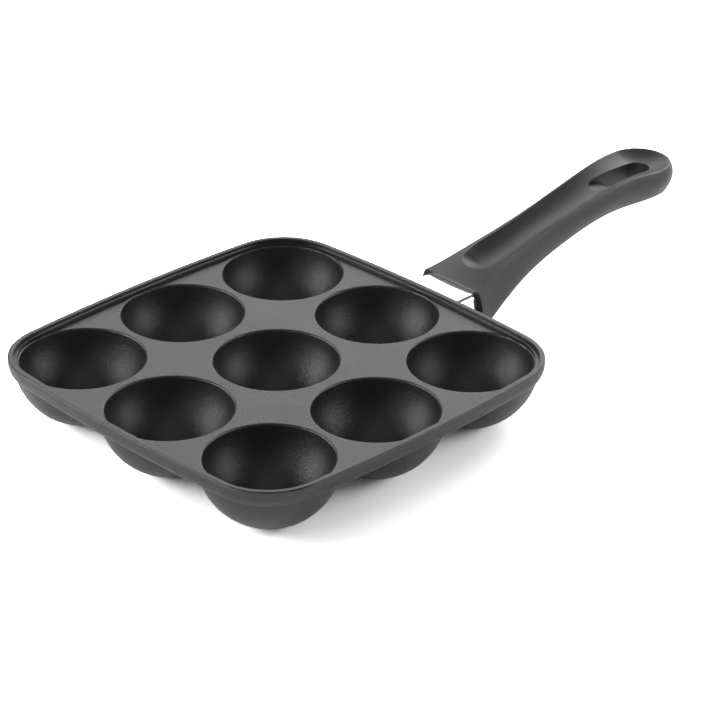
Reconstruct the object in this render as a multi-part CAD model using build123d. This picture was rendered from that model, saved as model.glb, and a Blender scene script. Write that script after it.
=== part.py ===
from build123d import *
import math
import os

# Aebleskiver pan: a square cast-aluminium pan with nine hemispherical wells,
# a stepped rim, and a one-armed phenolic handle screwed to a cast lug.
# Millimetres. +Z is up and +X runs along the handle, away from the pan.
# The origin lies under the middle well, on the plane that the pan rests on.

# Wells: nine spheres sunk in a flat plate, three by three.
well_pitch = 69.0           # middle well to the well at the middle of a side
corner_pull_in = 2.2        # the corner wells sit this much nearer on X and on Y
well_radius = 31.0          # inside of a well
well_rise = 1.2             # the spheres' centres lie this far above the plate
mouth_round = 1.0           # rounding where the plate rolls into a well
bowl_wall = 3.2             # wall of a bowl
foot_cut = 0.9              # taken off the bottom of each bowl as a flat foot
plate_thickness = 3.5

# Rim: a raised lip with one step inside and a curved skirt outside.
corner_margin = 2.1         # lip's outer radius at the corners, more than a well's
corner_out = 2.4            # the corners' centres beyond the corner wells, on X and on Y
side_bow_radius = 1000.0    # the four sides bow outwards at this radius
lip_height = 2.9            # lip above the plate
lip_width = 2.65
lip_draft = 0.15            # lean of the lip's inner wall
ledge_width = 1.7
ledge_height = 1.8          # ledge above the plate, along the sides
ledge_corner_height = 1.1   # and at the corners
ledge_draft = 0.1           # lean of the ledge's inner wall
ledge_low_angle = 22.0      # it lies low this far to either side of a corner's middle
ledge_fall_length = 9.0     # and runs down to there over this length
lip_edge_round = 0.7
lip_inner_round = 0.4
ledge_round = 0.35
skirt_drop = 6.1            # skirt's lower edge below the plate
skirt_inset = 2.7           # skirt's lower edge inside the lip
skirt_thickness = 1.7       # skirt at its lower edge
skirt_start = 2.6           # straight part of the lip's outer face
skirt_edge_round = 0.5
plate_overlap = 1.2         # how far the plate runs into the rim's metal

# Handle lug, cast with the pan: a pad on the wall, a spigot and a flat tang.
pad_stand = 2.8             # the pad's face beyond the bowl next to it
pad_depth = 16.0            # from the face back into the bowl's wall
pad_margin = 0.6            # pad outside the flame guard all round
spigot_length = 5.0
tang_reach = 22.8           # tang's end beyond the front of the handle
tang_width = 20.0
tang_height = 6.0
tang_top_drop = 4.0         # tang's upper face below the plate
tang_corner_round = 1.5

# Flame guard: a polished sleeve between the pad and the handle.
guard_sheet = 1.0
guard_show = 17.2           # length seen between the pad and the handle
guard_top_half_width = 17.4
guard_flare = 3.8           # half width gained from top to bottom
guard_top_drop = 1.7        # guard's upper face below the plate
guard_height = 19.0
guard_top_round = 3.2       # its two upper corners
guard_bottom_round = 7.0    # its two lower corners
guard_fit = 0.25            # spigot to guard, all round
guard_seat_depth = 2.4      # how far the handle covers the guard
guard_seat_gap = 0.3        # guard's end to the bottom of its seat
guard_seat_fit = 0.15       # guard to the seat's walls

# Handle: a moulded grip, narrow at the waist and round at the tip.
grip_length = 162.0         # front to tip along the creases
grip_half_width = 19.15     # at the front edge
grip_front_drop = 0.5       # front edge of the top below the plate
grip_rise = 22.5            # front edge of the top up to the crest
grip_depth = 27.2           # top to underside at the front
grip_crown = 0.9            # bulge of the top across the handle
grip_front_flare = 3.0      # side bulge outside the crease at the front
grip_body_flare = 1.5       # side bulge along the rest
grip_tip_radius = 17.3

# Scoop for the thumb along the top, and the slot to hang the pan by.
scoop_front_land = 4.2      # top left standing beside the scoop where it starts
scoop_land = 1.1            # and along the rest
scoop_depth = 4.2
scoop_cover = 3.0           # height of the cutter above the scoop's edges
slot_length = 43.0
slot_width = 13.0
slot_tip_land = 11.7        # tip end of the slot to the tip's crease
slot_ramp_drop = 0.8        # start of the ramp below the scoop's floor at the crest
slot_ramp_length = 21.0     # ramp from the slot's pan end down to the underside
overrun = 5.0               # cutters run past the faces that they cut by this

# Screw from below: pan head, with a spring lock washer.
screw_reach = 14.8          # screw's axis beyond the front of the handle
screw_radius = 2.45
screw_hole_radius = 2.5
screw_pass_radius = 2.8     # hole through the grip's floor
screw_head_radius = 4.5
screw_head_height = 3.0
screw_head_round = 1.2
screw_drive_width = 1.2     # cross recess
screw_drive_length = 5.0
screw_drive_depth = 1.6
screw_end_gap = 1.2         # screw's end below the top of the tang
washer_radius = 4.4
washer_bore_radius = 2.6
washer_thickness = 1.2
washer_split = 1.0
screw_pocket_radius = 5.4
screw_floor = 3.6           # grip's floor between tang and washer
tang_fit = 0.3              # tang to its socket, all round
tang_end_fit = 0.8          # tang's end to the bottom of the socket

# Places worked out from the sizes above.
corner_radius = well_radius + corner_margin
bowl_radius = well_radius + bowl_wall
plate_z = bowl_radius - well_rise - foot_cut
pad_face_x = well_pitch + bowl_radius + pad_stand
pad_root_x = pad_face_x - pad_depth
grip_front_x = pad_face_x + guard_show
tang_end_x = grip_front_x + tang_reach
screw_x = grip_front_x + screw_reach
slot_end_x = grip_front_x + grip_length - slot_tip_land
corner_well = well_pitch - corner_pull_in
corner_centre = corner_well + corner_out
bow_centre = corner_centre - math.sqrt((side_bow_radius - corner_radius) ** 2 - corner_centre ** 2)
bow_angle = math.degrees(math.atan2(corner_centre, corner_centre - bow_centre))
half_pan = bow_centre + side_bow_radius
foot_inset = lip_width + lip_draft + ledge_width + ledge_draft
guard_top = plate_z - guard_top_drop
guard_end_x = grip_front_x + guard_seat_depth - guard_seat_gap
grip_top = plate_z - grip_front_drop
tip_centre_x = grip_front_x + grip_length - grip_tip_radius
tang_top = plate_z - tang_top_drop
tang_bottom = tang_top - tang_height
screw_seat = tang_bottom - screw_floor
slot_start_x = slot_end_x - slot_length

# Handle stations from the front to the tip's centre, each a share of the
# handle's own sizes: how far along, half width, rise of the top, depth, and
# how far the side's bulge has gone from the front's to the body's.
grip_station_shares = [
    (0.000, 1.000, 0.000, 1.000, 0.00),
    (0.068, 0.872, 0.101, 1.003, 0.35),
    (0.159, 0.774, 0.238, 0.894, 0.70),
    (0.270, 0.702, 0.377, 0.706, 0.90),
    (0.445, 0.634, 0.593, 0.576, 1.00),
    (0.619, 0.667, 0.790, 0.503, 1.00),
    (0.786, 0.734, 0.955, 0.545, 1.00),
    (0.905, 0.835, 0.990, 0.586, 1.00),
    (1.000, 0.900, 0.958, 0.544, 1.00),
]
belly_share = 0.44          # depth of the side's widest point
heel_depth_share = 0.90     # depth of the lower corners
heel_width_share = 0.87     # half width at the lower corners
scoop_first_station = 2     # the scoop's sides follow the stations from this one
land_narrowing_share = 0.4  # of the land's extra width, kept at each further station
slot_ramp_slope_share = 0.05    # fall of the ramp where it leaves the scoop's floor


def well_places():
    """The middles of the nine wells."""
    places = []
    for row in (-1, 0, 1):
        for column in (-1, 0, 1):
            reach = corner_well if row and column else well_pitch
            places.append((row * reach, column * reach))
    return places


def pan_outline(offset):
    """The pan's outline from above, offset outwards: four bowed sides, four corners."""
    side = side_bow_radius + offset
    corner = corner_radius + offset
    start = math.radians(bow_angle)
    middle = math.radians(45)
    side_start = (bow_centre + side * math.cos(start), -side * math.sin(start))
    side_end = (bow_centre + side * math.cos(start), side * math.sin(start))
    corner_end = (corner_centre + corner * math.sin(start), corner_centre + corner * math.cos(start))
    corner_middle = (corner_centre + corner * math.cos(middle), corner_centre + corner * math.sin(middle))
    edges = []
    for quarter in range(4):
        turn = Rot(0, 0, 90 * quarter)
        edges.append(turn * ThreePointArc(side_start, (bow_centre + side, 0), side_end))
        edges.append(turn * ThreePointArc(side_end, corner_middle, corner_end))
    return Wire(edges)


def rim_section(reach):
    """The rim cut across, with its outer face at this reach from the Z axis."""
    lip_top = plate_z + lip_height
    ledge_top = plate_z + ledge_height
    skirt_bottom = plate_z - skirt_drop
    inner_lip = reach - lip_width
    outer_ledge = inner_lip - lip_draft
    inner_ledge = outer_ledge - ledge_width
    rim_foot = reach - foot_inset
    skirt_outer = reach - skirt_inset
    skirt_inner = skirt_outer - skirt_thickness
    straight_end = lip_top - skirt_start
    outer_arc = TangentArc((reach, 0, straight_end), (skirt_outer, 0, skirt_bottom), tangent=(0, 0, -1))
    outline = Polyline((skirt_outer, 0, skirt_bottom), (skirt_inner, 0, skirt_bottom),
                       (rim_foot, 0, plate_z - plate_thickness), (rim_foot, 0, plate_z),
                       (inner_ledge, 0, ledge_top), (outer_ledge, 0, ledge_top),
                       (inner_lip, 0, lip_top), (reach, 0, lip_top), (reach, 0, straight_end))
    section = make_face(outline.edges() + outer_arc.edges())
    for place, radius in (((reach, lip_top), lip_edge_round), ((inner_lip, lip_top), lip_inner_round),
                          ((inner_ledge, ledge_top), ledge_round),
                          ((skirt_outer, skirt_bottom), skirt_edge_round),
                          ((skirt_inner, skirt_bottom), skirt_edge_round)):
        corner = Vector(place[0], 0, place[1])
        nearest = min(section.vertices(), key=lambda v: (Vector(v.X, v.Y, v.Z) - corner).length)
        section = fillet(nearest, radius)
    return section


def ledge_fall():
    """What comes off the ledge at one corner, so that it runs down low there."""
    diagonal = math.sqrt(2) * corner_centre
    end = diagonal + (corner_radius - lip_width - lip_draft) * math.cos(math.radians(ledge_low_angle))
    start = end - 2 * ledge_fall_length
    low = plate_z + ledge_corner_height
    high = low + 2 * (ledge_height - ledge_corner_height)
    far = diagonal + corner_radius
    profile = Polyline((end, 0, low), (start, 0, high), (far, 0, high), (far, 0, low), close=True)
    wedge = extrude(make_face(profile.edges()), 2 * corner_radius, dir=(0, 1, 0), both=True)
    inside = extrude(make_face(pan_outline(-lip_width - lip_draft).edges()), high)
    return (Rot(0, 0, 45) * wedge) & inside


def rim():
    """Lip, ledge and skirt: the section turned round the bowed sides and the corners."""
    side = revolve(Pos(-bow_centre, 0, 0) * rim_section(half_pan), Axis.Z, 2 * bow_angle)
    side = Pos(bow_centre, 0, 0) * Rot(0, 0, -bow_angle) * side
    corner = revolve(rim_section(corner_radius), Axis.Z, 90 - 2 * bow_angle)
    corner = Pos(corner_centre, corner_centre, 0) * Rot(0, 0, bow_angle) * corner
    ring = side + corner
    for quarter in range(1, 4):
        turn = Rot(0, 0, 90 * quarter)
        ring += turn * side
        ring += turn * corner
    fall = ledge_fall()
    for quarter in range(4):
        ring -= Rot(0, 0, 90 * quarter) * fall
    return ring


def well_cutter():
    """One well: a sphere below and the rounded mouth above, turned about its axis."""
    centre_z = plate_z + well_rise
    bottom = centre_z - well_radius
    top = plate_z + overrun
    round_z = plate_z - mouth_round
    round_x = math.sqrt((well_radius + mouth_round) ** 2 - (centre_z - round_z) ** 2)
    share = well_radius / (well_radius + mouth_round)
    touch = (round_x * share, 0, centre_z + (round_z - centre_z) * share)
    lean = math.atan2(centre_z - round_z, round_x)
    middle_lean = (lean + math.pi / 2) / 2
    arc_lean = (math.pi - lean + math.pi / 2) / 2
    bowl_middle = (well_radius * math.cos(middle_lean), 0, centre_z - well_radius * math.sin(middle_lean))
    mouth_middle = (round_x + mouth_round * math.cos(arc_lean), 0,
                    round_z + mouth_round * math.sin(arc_lean))
    bowl = ThreePointArc((0, 0, bottom), bowl_middle, touch)
    mouth = ThreePointArc(touch, mouth_middle, (round_x, 0, plate_z))
    rest = Polyline((round_x, 0, plate_z), (round_x, 0, top), (0, 0, top), (0, 0, bottom))
    profile = make_face(bowl.edges() + mouth.edges() + rest.edges())
    return revolve(profile, Axis.Z, 360)


def guard_outline(x, offset):
    """The flame guard's outline across the handle at x, offset outwards."""
    top = guard_top + offset
    bottom = guard_top - guard_height - offset
    upper = guard_top_half_width + offset
    lower = upper + guard_flare
    corners = Polyline((x, upper, top), (x, lower, bottom), (x, -lower, bottom), (x, -upper, top),
                       close=True)
    face = make_face(corners.edges())
    face = fillet(face.vertices().sort_by(Axis.Z)[-2:], guard_top_round + offset)
    return fillet(face.vertices().sort_by(Axis.Z)[:2], guard_bottom_round + offset)


def tang(fit, end_x, root_x):
    """The flat tang, or with a fit the socket that takes it."""
    height = tang_height + 2 * fit
    width = tang_width + 2 * fit
    middle = (end_x + root_x) / 2
    bar = Pos(middle, 0, (tang_top + tang_bottom) / 2) * Box(end_x - root_x, width, height)
    return fillet(bar.edges().filter_by(Axis.X), tang_corner_round + fit)


def pan_body():
    """The casting: plate, nine bowls, rim and the lug that carries the handle."""
    under_plate = plate_z - plate_thickness
    plate = extrude(make_face(pan_outline(plate_overlap - foot_inset).edges()), plate_thickness)
    body = Pos(0, 0, under_plate) * plate
    cap_z = plate_z - plate_thickness / 2
    centre_z = plate_z + well_rise
    cap = Pos(0, 0, cap_z + bowl_radius) * Box(2 * bowl_radius, 2 * bowl_radius, 2 * bowl_radius)
    bowl = (Pos(0, 0, centre_z) * Sphere(bowl_radius)) - cap
    for place in well_places():
        body += Pos(*place) * bowl
    pad = extrude(guard_outline(pad_root_x, pad_margin), pad_face_x - pad_root_x, dir=(1, 0, 0))
    body += pad
    cutter = well_cutter()
    for place in well_places():
        body -= Pos(*place) * cutter
    body += rim()
    body += extrude(guard_outline(pad_face_x, -guard_sheet - guard_fit), spigot_length, dir=(1, 0, 0))
    body += tang(0, tang_end_x, pad_face_x)
    tap = Pos(screw_x, 0, tang_top - tang_height / 2) * Cylinder(screw_hole_radius, tang_height + overrun)
    body -= tap
    below = Pos(0, 0, -bowl_radius) * Box(4 * half_pan, 4 * half_pan, 2 * bowl_radius)
    return body - below


def flame_guard():
    """The sleeve: a drawn tube of the guard's outline, open at both ends."""
    length = guard_end_x - pad_face_x
    outside = extrude(guard_outline(pad_face_x, 0), length, dir=(1, 0, 0))
    inside = extrude(guard_outline(pad_face_x, -guard_sheet), length, dir=(1, 0, 0))
    return outside - inside


def station_sizes(number):
    """A handle station: x, half width, top, depth and side bulge."""
    along, width, rise, depth, bulge = grip_station_shares[number]
    x = grip_front_x + along * (tip_centre_x - grip_front_x)
    flare = grip_front_flare + bulge * (grip_body_flare - grip_front_flare)
    return x, grip_half_width * width, grip_top + grip_rise * rise, grip_depth * depth, flare


def grip_half_hull(number, side):
    """One side of a station's outline, from the crease round to the middle of the underside."""
    x, width, top, depth, flare = station_sizes(number)
    wide = side * (width + flare)
    points = [(x, side * width, top), (x, wide, top - depth * belly_share),
              (x, wide * heel_width_share, top - depth * heel_depth_share), (x, 0, top - depth)]
    return Spline(points, tangents=[(0, side, -2), (0, -side, 0)])


def grip_section(number):
    """The handle cut across at a station: crowned top, sharp creases, round belly."""
    x, width, top, depth, flare = station_sizes(number)
    crown = ThreePointArc((x, -width, top), (x, 0, top + grip_crown), (x, width, top))
    edges = crown.edges() + grip_half_hull(number, 1).edges() + grip_half_hull(number, -1).edges()
    return make_face(edges)


def grip_tip():
    """The round end: the last station's half outline turned about the tip's centre."""
    last = len(grip_station_shares) - 1
    x, width, top, depth, flare = station_sizes(last)
    crown_radius = (width ** 2 + grip_crown ** 2) / (2 * grip_crown)
    half_way = crown_radius - math.sqrt(crown_radius ** 2 - width ** 2 / 4)
    peak = top + grip_crown
    crown = ThreePointArc((x, 0, peak), (x, width / 2, peak - half_way), (x, width, top))
    middle = Line((x, 0, top - depth), (x, 0, peak))
    profile = make_face(crown.edges() + grip_half_hull(last, 1).edges() + middle.edges())
    return revolve(profile, Axis((x, 0, 0), (0, 0, 1)), -180)


def scoop_plane(number):
    """Across the handle at a station, leaning with the slope of the handle's top."""
    last = len(grip_station_shares) - 1
    before = station_sizes(max(number - 1, 0))
    after = station_sizes(min(number + 1, last))
    x, width, top, depth, flare = station_sizes(number)
    slope = (after[2] - before[2]) / (after[0] - before[0]) if number < last else 0
    extra_land = scoop_front_land - scoop_land
    land = scoop_land + extra_land * land_narrowing_share ** (number - scoop_first_station)
    half = width - land
    edge = top + grip_crown * (1 - (half / width) ** 2)
    return Plane(origin=(x, 0, edge), x_dir=(0, 1, 0), z_dir=(1, 0, slope)), half


def scoop_half_widths(half):
    """The scoop's arc at its edge: radius, and its half width at the cutter's top."""
    radius = (half ** 2 + scoop_depth ** 2) / (2 * scoop_depth)
    wide = math.sqrt(radius ** 2 - (radius - scoop_depth - scoop_cover) ** 2)
    return radius, wide


def scoop_section(number):
    """The scoop's cutter across the handle: a segment of a circle."""
    plane, half = scoop_plane(number)
    radius, wide = scoop_half_widths(half)
    floor = ThreePointArc((-wide, scoop_cover), (0, -scoop_depth), (wide, scoop_cover))
    face = make_face(floor.edges() + Line((-wide, scoop_cover), (wide, scoop_cover)).edges())
    return plane * face


def scoop_end(number, sweep):
    """The scoop's round end at a station: the segment's half turned about its middle."""
    plane, half = scoop_plane(number)
    radius, wide = scoop_half_widths(half)
    rise = radius - math.sqrt(radius ** 2 - wide ** 2 / 4)
    floor = ThreePointArc((0, -scoop_depth), (wide / 2, rise - scoop_depth), (wide, scoop_cover))
    sides = Polyline((wide, scoop_cover), (0, scoop_cover), (0, -scoop_depth))
    face = plane * make_face(floor.edges() + sides.edges())
    axis = Axis(plane.origin, plane.y_dir)
    return revolve(face, axis, sweep)


def scoop_cutter():
    """Everything that the thumb scoop takes off the top of the handle."""
    last = len(grip_station_shares) - 1
    middle = loft([scoop_section(number) for number in range(scoop_first_station, last + 1)])
    return middle + scoop_end(scoop_first_station, 180) + scoop_end(last, -180)


def slot_cutter():
    """The hanging slot: through at the tip end, ramped up to the scoop at the pan end."""
    last = station_sizes(len(grip_station_shares) - 1)
    high = last[2] + grip_crown + overrun
    low = last[2] - last[3] - overrun
    middle = slot_end_x - slot_length / 2
    plan = Pos(middle, 0, low) * extrude(SlotOverall(slot_length, slot_width), high - low)
    ramp_start = (slot_start_x, 0, last[2] - scoop_depth - slot_ramp_drop)
    ramp_end = (slot_start_x + slot_ramp_length, 0, low)
    ramp = Spline([ramp_start, ramp_end], tangents=[(1, 0, -slot_ramp_slope_share), (0, 0, -1)])
    rest = Polyline(ramp_end, (slot_end_x + overrun, 0, low), (slot_end_x + overrun, 0, high),
                    (slot_start_x, 0, high), ramp_start)
    profile = make_face(ramp.edges() + rest.edges())
    wedge = extrude(profile, slot_width, dir=(0, 1, 0), both=True)
    return plan & wedge


def handle_grip():
    """The moulded handle with its scoop, slot, socket, guard seat and screw hole."""
    grip = loft([grip_section(number) for number in range(len(grip_station_shares))])
    grip += grip_tip()
    grip -= scoop_cutter()
    grip -= slot_cutter()
    seat_length = guard_seat_depth + overrun
    seat_start = grip_front_x - overrun
    grip -= extrude(guard_outline(seat_start, guard_seat_fit), seat_length, dir=(1, 0, 0))
    grip -= Pos(0, 0, tang_fit) * tang(tang_fit, tang_end_x + tang_end_fit, grip_front_x)
    hole_height = screw_floor + tang_height
    grip -= Pos(screw_x, 0, screw_seat + hole_height / 2) * Cylinder(screw_pass_radius, hole_height)
    pocket = Pos(screw_x, 0, screw_seat - grip_depth / 2) * Cylinder(screw_pocket_radius, grip_depth)
    return grip - pocket


def lock_washer():
    """Spring washer: a flat ring with a split."""
    middle = screw_seat - washer_thickness / 2
    ring = Cylinder(washer_radius, washer_thickness) - Cylinder(washer_bore_radius, 2 * washer_thickness)
    split = Pos(washer_radius, 0, 0) * Box(2 * washer_radius, washer_split, 2 * washer_thickness)
    return Pos(screw_x, 0, middle) * (ring - split)


def handle_screw():
    """The screw that holds the handle on: pan head below, cross recess, plain shank."""
    under_head = screw_seat - washer_thickness
    shank_length = tang_top - screw_end_gap - under_head
    head = Pos(0, 0, -screw_head_height / 2) * Cylinder(screw_head_radius, screw_head_height)
    head = fillet(head.edges().sort_by(Axis.Z)[0], screw_head_round)
    shank = Pos(0, 0, shank_length / 2) * Cylinder(screw_radius, shank_length)
    for turn in (0, 90):
        slit = Box(screw_drive_length, screw_drive_width, 2 * screw_drive_depth)
        head -= Pos(0, 0, -screw_head_height) * Rot(0, 0, turn) * slit
    return Pos(screw_x, 0, under_head) * (head + shank)


os.makedirs("parts", exist_ok=True)
export_step(pan_body(), "parts/pan_body.step")
export_step(flame_guard(), "parts/flame_guard.step")
export_step(handle_grip(), "parts/handle_grip.step")
export_step(lock_washer(), "parts/lock_washer.step")
export_step(handle_screw(), "parts/handle_screw.step")
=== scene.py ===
import bpy
import math
from mathutils import Matrix, Vector

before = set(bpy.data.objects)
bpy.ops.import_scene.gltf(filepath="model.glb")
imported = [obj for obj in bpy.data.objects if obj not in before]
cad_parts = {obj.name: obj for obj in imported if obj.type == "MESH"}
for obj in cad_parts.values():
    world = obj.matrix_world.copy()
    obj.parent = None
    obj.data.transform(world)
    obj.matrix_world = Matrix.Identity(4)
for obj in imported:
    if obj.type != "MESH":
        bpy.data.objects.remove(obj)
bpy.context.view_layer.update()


# The pan is one aluminium casting: plate, nine bowls, stepped rim and handle lug. It is
# blasted and sprayed all over with a dark grey non-stick coating, finely pebbled, that
# is nearly black seen square on and shines softly at a low angle.
def linear(hex_colour):
    """An sRGB hex colour as linear red, green, blue and alpha."""
    channels = [int(hex_colour[i:i + 2], 16) / 255 for i in (1, 3, 5)]
    return [c / 12.92 if c <= 0.04045 else ((c + 0.055) / 1.055) ** 2.4 for c in channels] + [1.0]


def add_node(material, kind, values=None, links=None, **settings):
    """A node with its settings and socket values, linked from other nodes' outputs."""
    tree = material.node_tree
    node = tree.nodes.new(kind)
    for name, value in settings.items():
        setattr(node, name, value)
    for name, value in (values or {}).items():
        node.inputs[name].default_value = value
    for name, source in (links or {}).items():
        tree.links.new(source, node.inputs[name])
    return node


def new_material(name):
    """An empty node material."""
    material = bpy.data.materials.new(name)
    material.use_nodes = True
    material.node_tree.nodes.clear()
    return material


def dress(material, shader, *pieces):
    """The shader as the material's surface, and the material on every slot of the pieces."""
    add_node(material, "ShaderNodeOutputMaterial", links={"Surface": shader.outputs[0]})
    for piece in pieces:
        if not piece.material_slots:
            piece.data.materials.append(material)
        for slot in piece.material_slots:
            slot.material = material


# The pebbles are drawn coarser than the real ones, which are too fine to show.
pebbles_per_metre = 1500.0      # one in 0.67 mm
patches_per_metre = 40.0        # the shine drifts over 25 mm
coating = new_material("sprayed_nonstick_coating")
place = add_node(coating, "ShaderNodeTexCoord").outputs["Object"]
pebbles = add_node(coating, "ShaderNodeTexNoise",
                   {"Scale": pebbles_per_metre, "Detail": 2.0, "Roughness": 0.6}, {"Vector": place})
drift = add_node(coating, "ShaderNodeTexNoise", {"Scale": patches_per_metre, "Detail": 2.0},
                 {"Vector": place})
colours = add_node(coating, "ShaderNodeValToRGB", links={"Fac": pebbles.outputs["Fac"]})
colours.color_ramp.elements[0].position = 0.35
colours.color_ramp.elements[0].color = linear("#0a0a0b")
colours.color_ramp.elements[1].position = 0.70
colours.color_ramp.elements[1].color = linear("#161617")
shine = add_node(coating, "ShaderNodeMapRange", {"To Min": 0.38, "To Max": 0.46},
                 {"Value": drift.outputs["Fac"]})
texture = add_node(coating, "ShaderNodeBump", {"Strength": 0.6, "Distance": 0.0003},
                   {"Height": pebbles.outputs["Fac"]})
coating_shader = add_node(coating, "ShaderNodeBsdfPrincipled", {"IOR": 1.6},
                          {"Base Color": colours.outputs["Color"], "Roughness": shine.outputs["Result"],
                           "Normal": texture.outputs["Normal"]})
dress(coating, coating_shader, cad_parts["pan_body"])


# The flame guard is a drawn sleeve of aluminium, polished bright, that fills the gap
# between the pan's lug and the handle. Fine lines run along it from the drawing.
lines_per_metre = 1600.0        # one in 0.6 mm across the sleeve
line_ends_per_metre = 20.0      # and each about 50 mm long
polish = new_material("polished_aluminium")
place = add_node(polish, "ShaderNodeTexCoord").outputs["Object"]
stretched = add_node(polish, "ShaderNodeMapping",
                     {"Scale": (line_ends_per_metre, lines_per_metre, lines_per_metre)},
                     {"Vector": place})
lines = add_node(polish, "ShaderNodeTexNoise", {"Scale": 1.0, "Detail": 2.0},
                 {"Vector": stretched.outputs["Vector"]})
sheen = add_node(polish, "ShaderNodeMapRange", {"To Min": 0.08, "To Max": 0.22},
                 {"Value": lines.outputs["Fac"]})
texture = add_node(polish, "ShaderNodeBump", {"Strength": 0.05, "Distance": 0.0001},
                   {"Height": lines.outputs["Fac"]})
polish_shader = add_node(polish, "ShaderNodeBsdfPrincipled",
                         {"Base Color": linear("#f6f6f6"), "Metallic": 1.0},
                         {"Roughness": sheen.outputs["Result"], "Normal": texture.outputs["Normal"]})
dress(polish, polish_shader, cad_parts["flame_guard"])


# The handle is a compression moulding of phenolic resin: dark grey, satin, with the
# fine grain of its mould and a slightly uneven shine.
grains_per_metre = 1800.0       # one in 0.6 mm
clouds_per_metre = 60.0         # the shine changes over 17 mm
phenolic = new_material("moulded_phenolic")
place = add_node(phenolic, "ShaderNodeTexCoord").outputs["Object"]
grain = add_node(phenolic, "ShaderNodeTexNoise", {"Scale": grains_per_metre, "Detail": 2.0},
                 {"Vector": place})
cloud = add_node(phenolic, "ShaderNodeTexNoise", {"Scale": clouds_per_metre, "Detail": 2.0},
                 {"Vector": place})
colours = add_node(phenolic, "ShaderNodeValToRGB", links={"Fac": grain.outputs["Fac"]})
colours.color_ramp.elements[0].position = 0.35
colours.color_ramp.elements[0].color = linear("#1a1a1b")
colours.color_ramp.elements[1].position = 0.65
colours.color_ramp.elements[1].color = linear("#232324")
shine = add_node(phenolic, "ShaderNodeMapRange", {"To Min": 0.40, "To Max": 0.48},
                 {"Value": cloud.outputs["Fac"]})
texture = add_node(phenolic, "ShaderNodeBump", {"Strength": 0.5, "Distance": 0.0002},
                   {"Height": grain.outputs["Fac"]})
phenolic_shader = add_node(phenolic, "ShaderNodeBsdfPrincipled", {"IOR": 1.48},
                           {"Base Color": colours.outputs["Color"], "Roughness": shine.outputs["Result"],
                            "Normal": texture.outputs["Normal"]})
dress(phenolic, phenolic_shader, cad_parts["handle_grip"])


# The screw and its lock washer hold the handle to the pan's tang, from below. Both are
# zinc-plated steel, pale grey, with a shine that is mottled by the plating bath.
mottles_per_metre = 700.0       # one in 1.4 mm
steel = new_material("zinc_plated_steel")
place = add_node(steel, "ShaderNodeTexCoord").outputs["Object"]
mottle = add_node(steel, "ShaderNodeTexNoise", {"Scale": mottles_per_metre, "Detail": 3.0},
                  {"Vector": place})
shine = add_node(steel, "ShaderNodeMapRange", {"To Min": 0.22, "To Max": 0.42},
                 {"Value": mottle.outputs["Fac"]})
texture = add_node(steel, "ShaderNodeBump", {"Strength": 0.1, "Distance": 0.0001},
                   {"Height": mottle.outputs["Fac"]})
steel_shader = add_node(steel, "ShaderNodeBsdfPrincipled",
                        {"Base Color": linear("#b8babd"), "Metallic": 1.0},
                        {"Roughness": shine.outputs["Result"], "Normal": texture.outputs["Normal"]})
dress(steel, steel_shader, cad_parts["handle_screw"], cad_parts["lock_washer"])


# The stage: a round of white paper. The camera sees it brighter than it is, and so do
# reflections in part, so that it burns out to white where the pan doesn't shade it.
paper_radius = 1.0
paper_seen = 2.6                # how bright the camera sees it
paper_in_reflections = 0.4      # how much of that shows in reflections
bpy.ops.object.select_all(action="DESELECT")
bpy.ops.mesh.primitive_circle_add(vertices=96, radius=paper_radius, fill_type="NGON",
                                  location=(0, 0, 0))
floor = bpy.context.object
floor.name = "floor"
paper = new_material("white_paper")
ray = add_node(paper, "ShaderNodeLightPath")
reflected = add_node(paper, "ShaderNodeMath",
                     links={0: ray.outputs["Is Glossy Ray"], 1: ray.outputs["Is Transmission Ray"]},
                     operation="MAXIMUM")
seen = add_node(paper, "ShaderNodeMath", {1: paper_in_reflections},
                {0: reflected.outputs["Value"], 2: ray.outputs["Is Camera Ray"]},
                operation="MULTIPLY_ADD")
plain = add_node(paper, "ShaderNodeBsdfDiffuse", {"Color": linear("#f4f4f4")})
bright = add_node(paper, "ShaderNodeBsdfDiffuse", {"Color": (paper_seen, paper_seen, paper_seen, 1.0)})
paper_shader = add_node(paper, "ShaderNodeMixShader",
                        links={"Fac": seen.outputs["Value"], 1: plain.outputs["BSDF"],
                               2: bright.outputs["BSDF"]})
dress(paper, paper_shader, floor)


# The light: low soft boxes all round the pan, the strongest on the left and behind it,
# and a dim broad one under the ceiling. Sizes and distances in metres, power in watts.
pan_middle = Vector((0.03, 0, 0.03))


def soft_box(name, bearing, height, distance, size, watts):
    """An area lamp that faces the pan from this bearing and height, both in degrees."""
    lamp = bpy.data.lights.new(name, "AREA")
    lamp.shape = "RECTANGLE"
    lamp.size, lamp.size_y = size
    lamp.energy = watts
    holder = bpy.data.objects.new(name, lamp)
    bpy.context.scene.collection.objects.link(holder)
    turn, lift = math.radians(bearing), math.radians(height)
    away = Vector((math.cos(turn) * math.cos(lift), math.sin(turn) * math.cos(lift), math.sin(lift)))
    holder.location = pan_middle + away * distance
    holder.rotation_euler = (-away).to_track_quat("-Z", "Y").to_euler()
    holder.visible_camera = False


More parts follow.
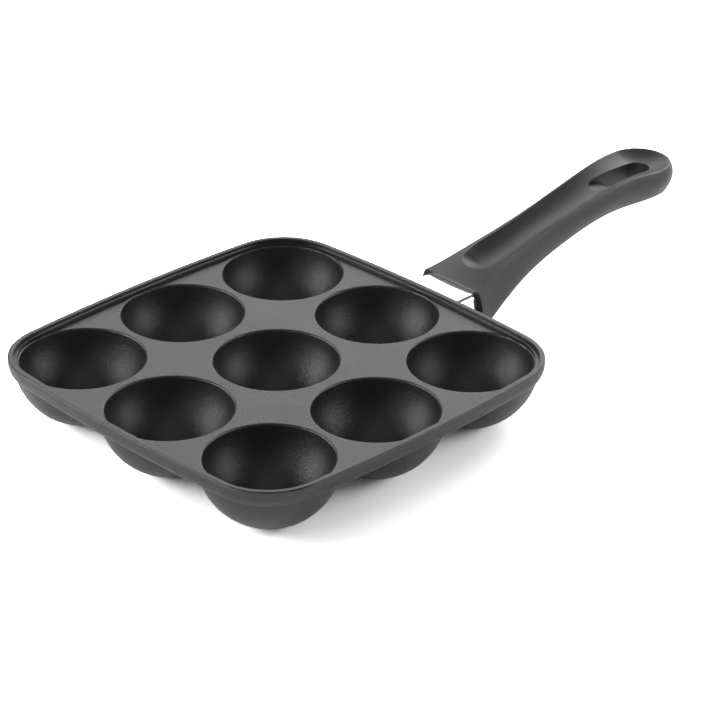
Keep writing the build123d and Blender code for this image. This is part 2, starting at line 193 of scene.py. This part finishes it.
soft_box("left_soft_box", 135, 22, 1.5, (1.0, 0.6), 18.5)
soft_box("right_soft_box", 315, 22, 1.5, (0.9, 0.5), 8.5)
soft_box("back_soft_box", 45, 30, 1.5, (1.4, 0.9), 10.0)
soft_box("back_right_soft_box", 10, 26, 1.5, (0.8, 0.5), 6.0)
soft_box("front_left_soft_box", 180, 28, 1.5, (0.8, 0.5), 1.5)
soft_box("ceiling_soft_box", 225, 75, 2.0, (2.0, 2.0), 4.5)

# The room round them is white low down, past the paper, and dim from there up.
white_up_to = 0.06              # sines of the height above the horizon
dim_from = 0.20
dim_level = 0.15
world = bpy.data.worlds.new("studio")
bpy.context.scene.world = world
world.use_nodes = True
room = world.node_tree.nodes["Background"]
room.inputs["Strength"].default_value = 1.0
direction = add_node(world, "ShaderNodeTexCoord").outputs["Generated"]
height = add_node(world, "ShaderNodeSeparateXYZ", links={"Vector": direction}).outputs["Z"]
shade = add_node(world, "ShaderNodeValToRGB", links={"Fac": height})
shade.color_ramp.elements[0].position = white_up_to
shade.color_ramp.elements[0].color = (1.0, 1.0, 1.0, 1.0)
shade.color_ramp.elements[1].position = dim_from
shade.color_ramp.elements[1].color = (dim_level, dim_level, dim_level, 1.0)
world.node_tree.links.new(shade.outputs["Color"], room.inputs["Color"])


# The camera stands where the photograph was taken from, looking down at 28 degrees.
camera_place = (-0.85695, -0.92859, 0.71445)
camera_bearing = -44.44         # degrees, from +Y towards +X
camera_down = 28.29
camera_roll = 0.16
camera_data = bpy.data.cameras.new("camera")
camera = bpy.data.objects.new("camera", camera_data)
bpy.context.scene.collection.objects.link(camera)
bpy.context.scene.camera = camera
camera_data.sensor_width = 36.0
camera_data.lens = 149.31
camera_data.clip_end = 50.0
camera.matrix_world = (Matrix.Translation(camera_place)
                       @ Matrix.Rotation(math.radians(camera_bearing), 4, "Z")
                       @ Matrix.Rotation(math.radians(90 - camera_down), 4, "X")
                       @ Matrix.Rotation(math.radians(camera_roll), 4, "Z"))

bpy.context.scene.view_settings.view_transform = "Standard"
